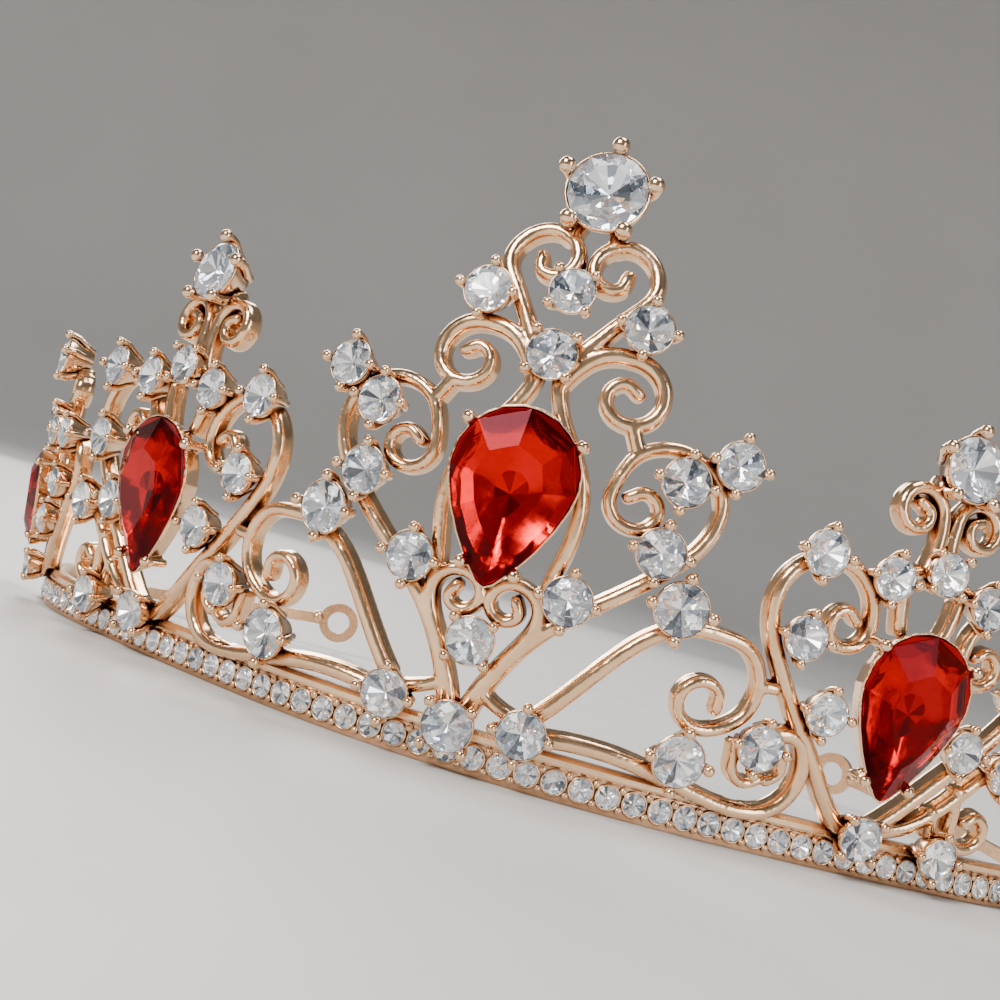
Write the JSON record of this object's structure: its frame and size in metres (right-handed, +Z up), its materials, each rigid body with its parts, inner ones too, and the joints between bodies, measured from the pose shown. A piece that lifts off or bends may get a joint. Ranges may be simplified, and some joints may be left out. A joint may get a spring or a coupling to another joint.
{
  "type": "crown",
  "caption": "Tall open-backed tiara: stone-set band, five pierced scrollwork castings with pear and round stones, and tail strips ending in hair-grip loops.",
  "frame": {"origin": "middle of the band's lower edge at the front", "axes": "+Z up from the band's lower edge, -Y to the front of the crown, +X to the wearer's left"},
  "size_m": [0.1512, 0.1062, 0.0669],
  "materials": {
    "rose_gold": "polished plating, pink gold",
    "rail_gold": "polished plating, pink gold",
    "tail_gold": "satin plating, pink gold",
    "cast_gold": "polished cast, pink gold",
    "setting_gold": "polished, pink gold",
    "clear_crystal": "faceted, foil backed",
    "band_crystal": "faceted, foil backed",
    "red_crystal": "faceted, deep red"
  },
  "bodies": {
    "root": {"stone_band": "rose_gold", "base_rail": "rail_gold", "band_stones": "band_crystal", "left_tail": "tail_gold", "right_tail": "tail_gold", "centre_frame": "cast_gold", "centre_crest_cup": "setting_gold", "centre_crest_stone": "clear_crystal", "centre_pear_setting": "setting_gold", "centre_pear_stone": "red_crystal", "centre_round_stones": "clear_crystal", "left_frame": "cast_gold", "left_crest_cup": "setting_gold", "left_crest_stone": "clear_crystal", "left_pear_setting": "setting_gold", "left_pear_stone": "red_crystal", "left_round_stones": "clear_crystal", "right_frame": "cast_gold", "right_crest_cup": "setting_gold", "right_crest_stone": "clear_crystal", "right_pear_setting": "setting_gold", "right_pear_stone": "red_crystal", "right_round_stones": "clear_crystal", "left_end_frame": "cast_gold", "left_end_crest_cup": "setting_gold", "left_end_crest_stone": "clear_crystal", "left_end_pear_setting": "setting_gold", "left_end_pear_stone": "red_crystal", "left_end_round_stones": "clear_crystal", "right_end_frame": "cast_gold", "right_end_crest_cup": "setting_gold", "right_end_crest_stone": "clear_crystal", "right_end_pear_setting": "setting_gold", "right_end_pear_stone": "red_crystal", "right_end_round_stones": "clear_crystal"}
  },
  "joints": []
}
